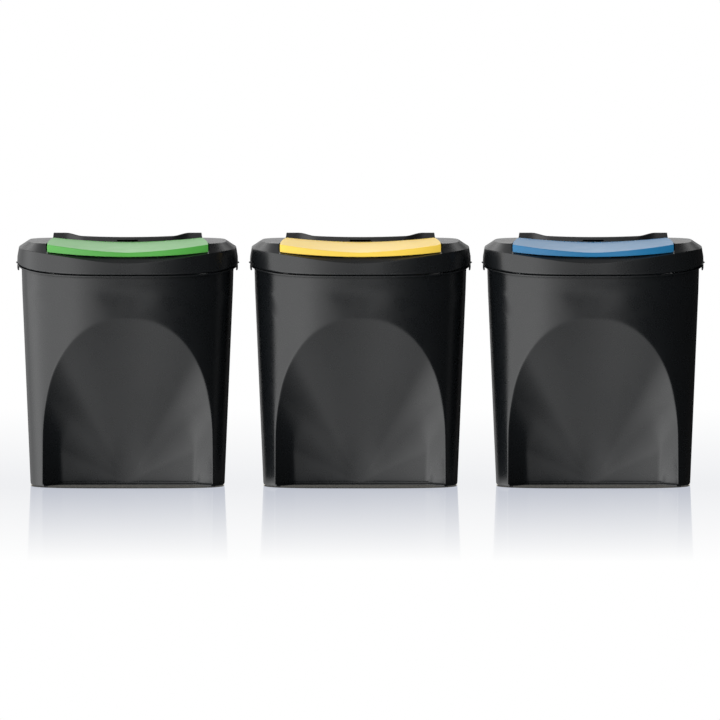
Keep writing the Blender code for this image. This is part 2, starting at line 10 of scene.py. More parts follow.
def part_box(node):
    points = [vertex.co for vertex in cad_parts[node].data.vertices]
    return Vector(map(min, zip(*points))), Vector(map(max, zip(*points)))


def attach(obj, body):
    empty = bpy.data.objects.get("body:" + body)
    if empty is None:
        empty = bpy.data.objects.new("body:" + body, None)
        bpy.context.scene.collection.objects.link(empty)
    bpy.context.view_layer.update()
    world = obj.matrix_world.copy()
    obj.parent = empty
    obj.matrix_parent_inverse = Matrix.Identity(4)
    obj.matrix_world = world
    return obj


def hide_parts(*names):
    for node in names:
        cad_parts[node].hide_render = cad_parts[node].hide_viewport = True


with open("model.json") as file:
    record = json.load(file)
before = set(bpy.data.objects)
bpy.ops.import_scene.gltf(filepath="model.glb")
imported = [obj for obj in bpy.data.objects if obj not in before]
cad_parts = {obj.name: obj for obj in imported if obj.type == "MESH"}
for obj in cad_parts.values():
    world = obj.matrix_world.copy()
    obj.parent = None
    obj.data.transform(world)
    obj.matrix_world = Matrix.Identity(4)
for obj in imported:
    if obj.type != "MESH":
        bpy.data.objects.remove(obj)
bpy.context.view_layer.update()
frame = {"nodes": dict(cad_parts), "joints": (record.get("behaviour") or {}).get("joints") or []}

# ---- read from the frame -------------------------------------------------------------------------
BINS = ("left", "middle", "right")
LID_LOW, LID_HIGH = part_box("middle_lid")
TUB_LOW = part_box("middle_tub")[0]
MIDDLE_X = 0.5 * (LID_LOW[0] + LID_HIGH[0])
RIM_HALF_WIDTH = 0.5 * (LID_HIGH[0] - LID_LOW[0])
RIM_HALF_DEPTH = 0.5 * (LID_HIGH[1] - LID_LOW[1])
LID_HEM_LIFT = 0.0003
RIM_FRONT_Z = LID_LOW[2] + LID_HEM_LIFT
RIDGE_TOP_Z = LID_HIGH[2]
FLOOR_Z = TUB_LOW[2]
HINGE = next(j for j in frame["joints"] if j["name"] == "middle_flap_hinge")
HINGE_Y, HINGE_Z = HINGE["pos_m"][1:]


def bin_offset(place):
    """How far a bin stands from the middle one, along X."""
    low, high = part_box(place + "_lid")
    return 0.5 * (low[0] + high[0]) - MIDDLE_X


# ---- tub -----------------------------------------------------------------------------------------
TUB_BASE_HALF_WIDTH = 0.170
TUB_TOP_HALF_WIDTH = 0.186
TUB_BASE_HALF_DEPTH = 0.126
TUB_TOP_HALF_DEPTH = 0.139
TUB_WALL = 0.0026
FRONT_POWER = 3.2
REAR_POWER = 5.0
PANEL_FRACTION = 0.945
PANEL_TOP_Z = 0.340
BASE_BAND = 0.0055
BASE_BANDS = (
    # fillet, share of the base band's height, share of the recess's ledge
    (0.0002, 0.50, 0.4), (0.0006, 0.32, 1.0), (0.0013, 0.12, 1.0), (0.0026, 0.0, 0.25),
)
INNER_FILLETS = ((0.0006, 0.5), (0.0022, 0.0))
RIM_RISE = 0.0225
RIM_RISE_LENGTH = 0.240
FLANGE_GAP = 0.0016
FLANGE_ROUND = 0.0010

# ---- scooped recess ------------------------------------------------------------------------------
ARCH_HALF_WIDTH = 0.149
ARCH_SPRING_Z = 0.085
ARCH_TOP_Z = 0.299
ARCH_POWER = 2.3
RECESS_BACK_Y = -0.033
RECESS_POWER = 0.62
RECESS_BELLY = 0.005
RECESS_BELLY_Z = (0.235, 0.160)
RECESS_WALL_SHARE = (0.80, 0.50)
RECESS_WALL_Z = (0.085, 0.235)
RECESS_CORNER = (0.11, 0.50)
RECESS_CROWN = 0.010
RECESS_CROWN_SHARE = 0.45
RECESS_EDGE_ROUND = (0.0034, 0.0008)
RECESS_EDGE_Z = (0.12, 0.27)
RECESS_LEDGE = 0.0022
INNER_ARCH_SHARE = 0.7
INNER_BACK_SHARE = 1.08

# ---- side grips ----------------------------------------------------------------------------------
GRIP_HALF_LENGTH = 0.040
GRIP_THICKNESS = 0.0035
GRIP_LOW_Z = 0.3785
GRIP_CHAMFER = (0.0010, 0.004)
GRIP_ROUND = 0.0007
GRIP_TOP_GAP = 0.0003
GRIP_END_RISE = 0.0045
GRIP_END_START = 0.88
NUB_REACH = 0.0026
NUB_HALF_LENGTH = 0.010
NUB_HALF_HEIGHT = 0.0013
NUB_DROP = 0.0016
NUB_ROOT = 0.0012
NUB_SEAT = 0.0004

# ---- lid -----------------------------------------------------------------------------------------
LID_WALL = 0.0024
HEM_TUCK = 0.0018
HEM_HEIGHT = 0.0024
SKIRT_TOP_INSET = 0.0030
SKIRT_HEIGHT_FRONT = 0.020
SKIRT_HEIGHT_CORNER = 0.0325
SKIRT_CORNER_X = 0.155
SKIRT_CORNER_Y = -0.115
CROWN_LEVEL_Z = 0.4165
CROWN_ROUND = 0.004
LID_EDGE_ROUND = 0.0011
PLATEAU_Z = 0.4285
PLATEAU_INSET = 0.018
LID_FRONT_X = 0.146
OPENING_HALF_WIDTH = 0.1430
OPENING_TURN_Y = -0.118
OPENING_START_Y = -0.093
OPENING_STEP = 0.002
LIP_DEPTH = (0.0045, 0.0100)
LIP_RISE = 0.002
LIP_SLOPE = 0.95
LIP_WIDTH = 0.004
COLUMN_GAP = 0.0004
RIDGE_HALF_WIDTH = 0.1315
RIDGE_SCOOP = 0.0075
SCOOP_START_X = 0.078
SCOOP_END_X = 0.108
SCOOP_DISH = 0.24
RIDGE_FACE_Y = (-0.014, -0.0075)
RIDGE_BACK_Y = 0.016
RIDGE_BACK_SLOPE = 0.0075
RIDGE_BACK_DROP = 0.0006
RIDGE_TAPER = 0.002
RIDGE_LEAN = 0.0045
RIDGE_ROUND = 0.0020
RIDGE_SKIRT_Z = 0.406
SLOT_HALF_WIDTH = 0.0185
SLOT_HEIGHT = 0.0032
SLOT_ABOVE_FLAP = 0.0007
SLOT_REACH = (-0.006, 0.008)

# ---- flap ----------------------------------------------------------------------------------------
FLAP_WALL = 0.0024
FLAP_FRONT_HALF_WIDTH = 0.141
FLAP_REAR_Y = -0.0225
FLAP_REAR_Z = (0.4268, 0.4350)
FLAP_REAR_POWER = 1.7
FLAP_CREASE_Z = (0.4138, 0.4274)
FLAP_CREASE_POWER = 1.5
FLAP_CREASE_ROUND = 0.0012
FLAP_HEM_Z = (0.4071, 0.4143)
FLAP_HEM_POWER = 2.0
FLAP_TOP_POWER = 1.25
FLAP_LIP = (0.0055, 0.002)
FLAP_LIP_SPLAY = 0.0004
FLAP_INSET = 0.0105
FLAP_FACE_LEAN = 0.003
FLAP_ROLL = math.radians(58.0)
EAR_X = (0.1175, 0.1215)
LUG_X = (0.1235, 0.1275)
PIN_X = (0.1150, 0.1290)
EAR_RADIUS = 0.0050
LUG_RADIUS = 0.0058
BORE_RADIUS = 0.0026
BORE_OVERRUN = 0.001
LUG_STEM = 0.0035
LUG_ARM = 0.004
LUG_GAP = (0.0012, 0.0006)
LUG_ARC = (math.radians(-52.0), math.radians(232.0))
EAR_ARC = (-math.pi, 0.40 * math.pi)
EAR_WEB_Y = (0.0002, -0.011)
EAR_TOP_Z = 0.4330
EDGE_ROUND = 0.0006


# ---- curves --------------------------------------------------------------------------------------
def smooth(value):
    """0 below 0, 1 above 1, and an S between."""
    value = min(max(value, 0.0), 1.0)
    return value * value * (3.0 - 2.0 * value)


def mix(start, end, share):
    return start + (end - start) * share


def soft_min(a, b, radius):
    """The smaller of two values, with the corner between them rounded."""
    if radius <= 1e-7:
        return min(a, b)
    overlap = max(radius - abs(a - b), 0.0) / radius
    return min(a, b) - overlap * overlap * radius * 0.25


def soft_max(a, b, radius):
    return -soft_min(-a, -b, radius)


def resample(points, count):
    """count + 1 points, evenly spaced along a polyline."""
    lengths = [0.0]
    for before, after in zip(points, points[1:]):
        lengths.append(lengths[-1] + math.dist(before, after))
    result = []
    segment = 0
    for index in range(count + 1):
        target = lengths[-1] * index / count
        while segment < len(points) - 2 and lengths[segment + 1] < target:
            segment += 1
        span = lengths[segment + 1] - lengths[segment]
        share = min((target - lengths[segment]) / span, 1.0)
        before, after = points[segment], points[segment + 1]
        result.append(tuple(mix(a, b, share) for a, b in zip(before, after)))
    return result


def round_corners(points, radius, steps=3):
    """A path of 3D points with each inner corner turned into a short curve."""
    path = [Vector(points[0])]
    for before, here, after in zip(points, points[1:], points[2:]):
        before, here, after = Vector(before), Vector(here), Vector(after)
        back, ahead = before - here, after - here
        reach = min(radius, 0.45 * back.length, 0.45 * ahead.length)
        start = here + back.normalized() * reach
        end = here + ahead.normalized() * reach
        for step in range(steps + 1):
            share = step / steps
            path.append(start.lerp(here, share).lerp(here.lerp(end, share), share))
    path.append(Vector(points[-1]))
    return path


def front_y(x, half_width, half_depth):
    """The front of an outline at x."""
    ratio = min(abs(x) / half_width, 1.0)
    return -half_depth * (1.0 - ratio ** FRONT_POWER) ** (1.0 / FRONT_POWER)


def curve_point(angle, half_width, half_depth, power):
    """A point of a superellipse, for an angle from 0 to a right angle."""
    across = max(math.cos(angle), 0.0) ** (2.0 / power)
    along = math.sin(angle) ** (2.0 / power)
    return half_width * across, half_depth * along


def side_and_back(half_width, half_depth, start_x, count):
    """From start_x on the front, round the right side, the back and the left side."""
    steps = 160
    first = math.acos(min(start_x / half_width, 1.0) ** (FRONT_POWER / 2.0))
    right = []
    for step in range(steps):
        x, y = curve_point(first * (1.0 - step / steps), half_width, half_depth, FRONT_POWER)
        right.append((x, -y))
    for step in range(steps + 1):
        right.append(curve_point(0.5 * math.pi * step / steps, half_width, half_depth, REAR_POWER))
    left = [(-x, y) for x, y in reversed(right[:-1])]
    return resample(right + left, count)


def rim_z(y):
    """Height of the joint between tub and lid, which dips towards the front."""
    share = min(max((y + RIM_HALF_DEPTH) / RIM_RISE_LENGTH, 0.0), 1.0)
    return RIM_FRONT_Z + RIM_RISE * (1.0 - (1.0 - share) ** 2)


def scoop(x):
    """0 at the dished middle of the ridge, 1 at its shoulders."""
    dish = SCOOP_DISH * min(abs(x) / SCOOP_START_X, 1.0) ** 2
    return mix(dish, 1.0, smooth((abs(x) - SCOOP_START_X) / (SCOOP_END_X - SCOOP_START_X)))


def arc_share(x, half_width, power):
    """0 in the middle of a dished edge, 1 at its ends."""
    return min(abs(x) / half_width, 1.0) ** power


# ---- mesh helpers --------------------------------------------------------------------------------
class Skin:
    """Vertices and faces, added row by row."""

    def __init__(self):
        self.vertices = []
        self.faces = []

    def add(self, x, y, z):
        self.vertices.append((x, y, z))
        return len(self.vertices) - 1

    def rings(self, lower, upper):
        """Faces between two closed rows."""
        count = len(lower)
        for i in range(count):
            after = (i + 1) % count
            self.faces.append((lower[i], lower[after], upper[after], upper[i]))

    def strips(self, lower, upper):
        """Faces between two open rows."""
        for i in range(len(lower) - 1):
            self.faces.append((lower[i], lower[i + 1], upper[i + 1], upper[i]))

    def mesh(self, name):
        mesh = bpy.data.meshes.new(name)
        mesh.from_pydata(self.vertices, [], self.faces)
        mesh.validate()
        return mesh


def link(name, mesh):
    thing = bpy.data.objects.new(name, mesh)
    bpy.context.collection.objects.link(thing)
    return thing


def bake_modifiers(thing):
    """Replaces a mesh by what its modifiers make of it."""
    graph = bpy.context.evaluated_depsgraph_get()
    mesh = bpy.data.meshes.new_from_object(thing.evaluated_get(graph))
    old = thing.data
    thing.modifiers.clear()
    thing.data = mesh
    bpy.data.meshes.remove(old)
    return thing


def thicken(thing, wall):
    """Turns a skin into a wall behind it, with its sharp edges rounded."""
    shell = thing.modifiers.new("wall", "SOLIDIFY")
    shell.thickness = wall
    shell.offset = -1.0
    shell.use_even_offset = True
    shell.use_quality_normals = True
    edge = thing.modifiers.new("edges", "BEVEL")
    edge.limit_method = "ANGLE"
    edge.angle_limit = math.radians(50.0)
    edge.width = EDGE_ROUND
    edge.segments = 2
    edge.use_clamp_overlap = True
    return bake_modifiers(thing)


def carve(thing, others):
    """Joins or cuts small solids, given as (object, operation), and removes them."""
    for other, operation in others:
        step = thing.modifiers.new(other.name, "BOOLEAN")
        step.operation = operation
        step.solver = "MANIFOLD"
        step.object = other
    bake_modifiers(thing)
    for other, _ in others:
        bpy.data.objects.remove(other, do_unlink=True)
    return thing


def finish_surface(thing, sharp=34.0):
    """Smooth shading that keeps edges steeper than an angle in degrees."""
    thing.data.shade_smooth()
    thing.data.set_sharp_from_angle(angle=math.radians(sharp))
    even = thing.modifiers.new("even_normals", "WEIGHTED_NORMAL")
    even.keep_sharp = True
    even.weight = 60


def plate_x(name, outline, x_range):
    """An outline in the YZ plane, anticlockwise seen from +X, thickened along X."""
    low, high = sorted(x_range)
    skin = Skin()
    near = [skin.add(low, y, z) for y, z in outline]
    far = [skin.add(high, y, z) for y, z in outline]
    skin.rings(near, far)
    skin.faces += [tuple(reversed(near)), tuple(far)]
    return link(name, skin.mesh(name))


def disc_outline(radius, sides=48):
    return [
        (HINGE_Y + radius * math.cos(2.0 * math.pi * i / sides),
         HINGE_Z + radius * math.sin(2.0 * math.pi * i / sides))
        for i in range(sides)
    ]


# ---- tub -----------------------------------------------------------------------------------------
class TubShape:
    """The tub's outer face (inset 0) or its inner face (inset by the wall)."""

    def __init__(self, inset):
        self.inset = inset
        self.bottom_z = FLOOR_Z + BASE_BAND
        self.side_rows = 26
        self.top_columns = 30
        self.around = 104
        self.ray_count = 2 * self.side_rows + self.top_columns

    def half_width(self, z):
        return mix(TUB_BASE_HALF_WIDTH, TUB_TOP_HALF_WIDTH, z / RIM_FRONT_Z) - self.inset

    def half_depth(self, z):
        return mix(TUB_BASE_HALF_DEPTH, TUB_TOP_HALF_DEPTH, z / RIM_FRONT_Z) - self.inset

    def wall_y(self, x, z):
        return front_y(x, self.half_width(z), self.half_depth(z))

    def arch(self):
        """The edge of the recess, from its bottom right over the top to its bottom left."""
        half_width = ARCH_HALF_WIDTH + self.inset * INNER_ARCH_SHARE
        rise = ARCH_TOP_Z - ARCH_SPRING_Z + self.inset * INNER_ARCH_SHARE
        right = [(half_width, self.bottom_z)]
        steps = 120
        for step in range(steps + 1):
            x, up = curve_point(0.5 * math.pi * step / steps, half_width, rise, ARCH_POWER)
            right.append((x, ARCH_SPRING_Z + up))
        left = [(-x, z) for x, z in reversed(right[:-1])]
        return resample(right + left, self.ray_count)

    def recess_back_y(self, z):
        share = min(max(z / ARCH_TOP_Z, 0.0), 1.0)
        front = -mix(TUB_BASE_HALF_DEPTH, TUB_TOP_HALF_DEPTH, ARCH_TOP_Z / RIM_FRONT_Z)
        belly_start, belly_end = RECESS_BELLY_Z
        belly = RECESS_BELLY * smooth((belly_start - z) / (belly_start - belly_end))
        back = mix(RECESS_BACK_Y, front, share ** RECESS_POWER)
        return back + belly + self.inset * INNER_BACK_SHARE

    def scooped_y(self, share, edge):
        """The recess alone, at a share of the way from the bottom middle to an arch point."""
        z = self.bottom_z + share * (edge[1] - self.bottom_z)
        residual = self.recess_back_y(edge[1]) - self.wall_y(*edge)
        wall_low, wall_high = RECESS_WALL_Z
        lift = smooth((edge[1] - wall_low) / (wall_high - wall_low))
        foot = mix(*RECESS_WALL_SHARE, lift)
        side = soft_max((share - foot) / (1.0 - foot), 0.0, mix(*RECESS_CORNER, lift))
        crown = min(RECESS_CROWN, RECESS_CROWN_SHARE * residual)
        return self.recess_back_y(z) - (residual - crown) * side - crown * share * share

    def front_face_y(self, x, z, share, edge):
        """The front face at x and z: the wall and the recess, with a rounded edge between."""
        low, high = RECESS_EDGE_Z
        lift = smooth((edge[1] - low) / (high - low))
        return soft_max(self.wall_y(x, z), self.scooped_y(share, edge), mix(*RECESS_EDGE_ROUND, lift))


# shares of the way from the bottom middle to the arch, and from the arch to the panel's edge;
# they crowd where the recess turns into its side walls
INSIDE = [0.0, 0.16, 0.32, 0.46, 0.56, 0.63, 0.68, 0.72, 0.75, 0.775, 0.795, 0.815, 0.835, 0.86,
          0.885, 0.91, 0.935, 0.955, 0.970, 0.981, 0.989, 0.995, 1.0]
OUTSIDE = [0.03, 0.08, 0.18, 0.34, 0.55, 0.78, 1.0]


def inset_ring(skin, ring, shifts, z):
    """A copy of a ring moved inwards in plan, each point by its own distance."""
    count = len(ring)
    result = []
    for i in range(count):
        before = skin.vertices[ring[i - 1]]
        here = skin.vertices[ring[i]]
        after = skin.vertices[ring[(i + 1) % count]]
        first = Vector((here[0] - before[0], here[1] - before[1])).normalized()
        second = Vector((after[0] - here[0], after[1] - here[1])).normalized()
        normal = Vector((-first.y - second.y, first.x + second.x))
        scale = shifts[i] * 2.0 / max(normal.length_squared, 1.0)
        result.append(skin.add(here[0] + normal.x * scale, here[1] + normal.y * scale, z))
    return result


def tub_face(skin, shape):
    """Adds one face of the tub up to its neck; returns its top and bottom rings."""
    rows_z = [mix(shape.bottom_z, PANEL_TOP_Z, i / shape.side_rows) for i in range(shape.side_rows + 1)]
    panel_x = [PANEL_FRACTION * shape.half_width(z) for z in rows_z]
    columns = shape.top_columns
    top_x = [panel_x[-1] * (1.0 - 2.0 * i / columns) for i in range(columns + 1)]
    border = list(zip(panel_x, rows_z))
    border += [(x, PANEL_TOP_Z) for x in top_x[1:-1]]
    border += [(-x, z) for x, z in reversed(list(zip(panel_x, rows_z)))]

    hub = skin.add(0.0, shape.recess_back_y(shape.bottom_z), shape.bottom_z)
    rays = []
    for edge, end in zip(shape.arch(), border):
        ray = [hub]
        for share in INSIDE[1:]:
            x = share * edge[0]
            z = shape.bottom_z + share * (edge[1] - shape.bottom_z)
            ray.append(skin.add(x, shape.front_face_y(x, z, share, edge), z))
        reach = math.dist(edge, end) / math.dist(edge, (0.0, shape.bottom_z))
        for share in OUTSIDE:
            x = mix(edge[0], end[0], share)
            z = mix(edge[1], end[1], share)
            ray.append(skin.add(x, shape.front_face_y(x, z, 1.0 + share * reach, edge), z))
        rays.append(ray)
    for right, left in zip(rays, rays[1:]):
        skin.faces.append((hub, right[1], left[1]))
        for step in range(1, len(right) - 1):
            skin.faces.append((right[step], right[step + 1], left[step + 1], left[step]))

    rows = []
    for index, z in enumerate(rows_z):
        path = side_and_back(shape.half_width(z), shape.half_depth(z), panel_x[index], shape.around)
        row = [rays[index][-1]]
        row += [skin.add(x, y, z) for x, y in path[1:-1]]
        row.append(rays[shape.ray_count - index][-1])
        rows.append(row)
    for lower, upper in zip(rows, rows[1:]):
        skin.strips(lower, upper)

    front = [ray[-1] for ray in rays[shape.side_rows:shape.ray_count - shape.side_rows + 1]]
    top = list(reversed(front)) + rows[-1][1:-1]
    base = list(reversed(rays[-1])) + rays[0][1:] + rows[0][1:-1]
    in_recess = len(OUTSIDE)
    recess_last = in_recess + 2 * (len(INSIDE) - 1)
    weights = [1.0 if in_recess < i < recess_last else 0.0 for i in range(len(base))]
    return top, base, weights


def rim_ring(skin, shape, out, level):
    """A ring round the top of the tub: out from the wall, level(y) high."""
    half_width = TUB_TOP_HALF_WIDTH + out
    half_depth = TUB_TOP_HALF_DEPTH + out
    edge_x = PANEL_FRACTION * half_width
    columns = shape.top_columns
    xs = [-edge_x + 2.0 * edge_x * i / columns for i in range(columns + 1)]
    plan = [(x, front_y(x, half_width, half_depth)) for x in xs]
    plan += side_and_back(half_width, half_depth, edge_x, shape.around)[1:-1]
    return [skin.add(x, y, level(y)) for x, y in plan]


def close_floor(skin, ring, facing_down):
    """Fills a level ring that isn't convex."""
    rim = [Vector(skin.vertices[number]) for number in ring]
    for corners in tessellate_polygon([rim]):
        a, b, c = (rim[i] for i in corners)
        down = (b - a).cross(c - a).z < 0.0
        corners = corners if down == facing_down else tuple(reversed(corners))
        skin.faces.append(tuple(ring[i] for i in corners))


def tub_mesh():
    skin = Skin()
    outer = TubShape(0.0)
    inner = TubShape(TUB_WALL)
    out = RIM_HALF_WIDTH - TUB_TOP_HALF_WIDTH
    top, base, weights = tub_face(skin, outer)

    # wall from the panel to the neck, the flange, and its inner edge
    neck = FLANGE_GAP + TUB_WALL
    for share in (0.25, 0.5, 0.75):
        z = mix(PANEL_TOP_Z, RIM_FRONT_Z, share)
        shift = outer.half_width(z) - TUB_TOP_HALF_WIDTH
        ring = rim_ring(skin, outer, shift, lambda y: mix(PANEL_TOP_Z, rim_z(y) - neck, share))
        skin.rings(top, ring)
        top = ring
    profile = (
        # (out of the wall, above the rim line), up the neck, round the flange and in
        (0.0, -neck - 0.0014), (0.0004, -neck - 0.0004), (0.0014, -neck),
        (out - 0.0011, -neck), (out - 0.0004, -neck + 0.0003), (out, -neck + FLANGE_ROUND),
        (out, -FLANGE_GAP - 0.0007), (out - 0.0003, -FLANGE_GAP - 0.0002),
        (out - FLANGE_ROUND, -FLANGE_GAP), (0.0008 - TUB_WALL, -FLANGE_GAP),
        (0.0002 - TUB_WALL, -FLANGE_GAP - 0.0002), (-TUB_WALL, -FLANGE_GAP - 0.0008),
    )
    for shift, drop in profile:
        ring = rim_ring(skin, outer, shift, lambda y: rim_z(y) + drop)
        skin.rings(top, ring)
        top = ring

    # the inner face, turned inside out
    lining = Skin()
    lining_top, lining_base, _ = tub_face(lining, inner)
    start = len(skin.vertices)
    skin.vertices += lining.vertices
    skin.faces += [tuple(start + number for number in reversed(face)) for face in lining.faces]
    lining_top = [start + number for number in lining_top]
    lining_base = [start + number for number in lining_base]
    for share in (0.66, 0.33):
        z = mix(PANEL_TOP_Z, RIM_FRONT_Z, share)
        shift = inner.half_width(z) - TUB_TOP_HALF_WIDTH
        ring = rim_ring(skin, inner, shift, lambda y: mix(PANEL_TOP_Z, rim_z(y) - neck, share))
        skin.rings(top, ring)
        top = ring
    skin.rings(top, lining_top)

    # outside base: a small ledge round the recess, a fillet elsewhere, then the floor
    above = base
    for fillet, height, ledge in BASE_BANDS:
        shifts = [mix(fillet, -RECESS_LEDGE * ledge, weight) for weight in weights]
        ring = inset_ring(skin, base, shifts, FLOOR_Z + BASE_BAND * height)
        skin.rings(ring, above)
        above = ring
    close_floor(skin, above, True)

    # inside floor
    level = FLOOR_Z + TUB_WALL
    above = lining_base
    for fillet, height in INNER_FILLETS:
        ring = inset_ring(skin, lining_base, [fillet] * len(lining_base),
                          mix(level, inner.bottom_z, height))
        skin.rings(above, ring)
        above = ring
    close_floor(skin, above, False)
    return skin.mesh("tub")


def grip_mesh(side):
    """A hand grip that hangs from the flange half-way along one side, with a level lower edge."""
    skin = Skin()
    outer = RIM_HALF_WIDTH
    inner = outer - GRIP_THICKNESS
    bevel, bevel_height = GRIP_CHAMFER
    stations = [-1.0, -0.985, -0.95, -0.90]
    stations += [-0.85 + 0.1 * i for i in range(18)]
    stations += [0.90, 0.95, 0.985, 1.0]
    rings = []
    for along in stations:
        y = along * GRIP_HALF_LENGTH
        top = rim_z(y) - FLANGE_GAP - GRIP_TOP_GAP
        end = max(abs(along) - GRIP_END_START, 0.0) / (1.0 - GRIP_END_START)
        low = GRIP_LOW_Z + GRIP_END_RISE * (1.0 - math.sqrt(1.0 - end * end))
        profile = [
            (inner, 0.0, top), (inner, 0.0, low), (outer - bevel, 0.0, low),
            (outer, 0.0, low + bevel_height), (outer, 0.0, top), (inner, 0.0, top),
        ]
        path = round_corners(profile, GRIP_ROUND)[:-1]
        rings.append([skin.add(side * p.x, y, p.z) for p in path])
    for before, after in zip(rings, rings[1:]):
        skin.rings(before, after)
    skin.faces += [tuple(reversed(rings[0])), tuple(rings[-1])]
    if side > 0:
        skin.faces = [tuple(reversed(face)) for face in skin.faces]
    return skin.mesh("grip")


def nub_mesh(side):
    """A small rounded stop on the flange's edge, over the middle of a grip."""
    skin = Skin()
    columns = 16
    steps = 8
    z = rim_z(0.0) - FLANGE_GAP - NUB_DROP
    rings = []
    for column in range(columns + 1):
        angle = math.pi * column / columns
        y = -NUB_HALF_LENGTH * math.cos(angle)
        out = NUB_REACH * math.sin(angle) ** 0.6
        ring = []
        for step in range(steps + 1):
            turn = math.pi * (step / steps - 0.5)
            bulge = math.cos(turn) ** 0.5 if 0 < step < steps else 0.0
            x = RIM_HALF_WIDTH - NUB_SEAT + out * bulge
            ring.append(skin.add(side * x, y, z + NUB_HALF_HEIGHT * math.sin(turn)))
        root = side * (RIM_HALF_WIDTH - NUB_ROOT)
        ring += [skin.add(root, y, z + NUB_HALF_HEIGHT), skin.add(root, y, z - NUB_HALF_HEIGHT)]
        rings.append(ring)
    for before, after in zip(rings, rings[1:]):
        skin.rings(before, after)
    skin.faces += [tuple(reversed(rings[0])), tuple(rings[-1])]
    if side < 0:
        skin.faces = [tuple(reversed(face)) for face in skin.faces]
    return skin.mesh("nub")


# ---- lid -----------------------------------------------------------------------------------------
def flap_hem(x):
    """Lowest front edge of the flap: its y and z on the outer face."""
    y = front_y(x, RIM_HALF_WIDTH, RIM_HALF_DEPTH) + FLAP_INSET
    return y, mix(*FLAP_HEM_Z, arc_share(x, FLAP_FRONT_HALF_WIDTH, FLAP_HEM_POWER))


def skirt_top_z(x, y):
    """The crown of the skirt: level at the sides and back, dipping at the front."""
    away = max(smooth(abs(x) / SKIRT_CORNER_X), smooth(1.0 - y / SKIRT_CORNER_Y))
    height = mix(SKIRT_HEIGHT_FRONT, SKIRT_HEIGHT_CORNER, away)
    return soft_min(rim_z(y) + height, CROWN_LEVEL_Z, CROWN_ROUND)


def opening_half_width(y):
    """The lid's opening narrows towards the ridge."""
    share = min(max((y - OPENING_TURN_Y) / (FLAP_REAR_Y - OPENING_TURN_Y), 0.0), 1.0)
    return mix(OPENING_HALF_WIDTH, RIDGE_HALF_WIDTH, share ** 2)


def ridge_top_z(x):
    return RIDGE_TOP_Z - RIDGE_SCOOP * (1.0 - scoop(x))


def ridge_face_y(x):
    return mix(*RIDGE_FACE_Y, scoop(x))


def lid_outline(inset, xs, rest):
    """The lid's outline in plan, moved in: the given front places, then the rest of the way."""
    half_width = RIM_HALF_WIDTH - inset
    half_depth = RIM_HALF_DEPTH - inset
    front = [(x, front_y(x, half_width, half_depth)) for x in xs]
    return front + side_and_back(half_width, half_depth, LID_FRONT_X, rest)[1:-1]


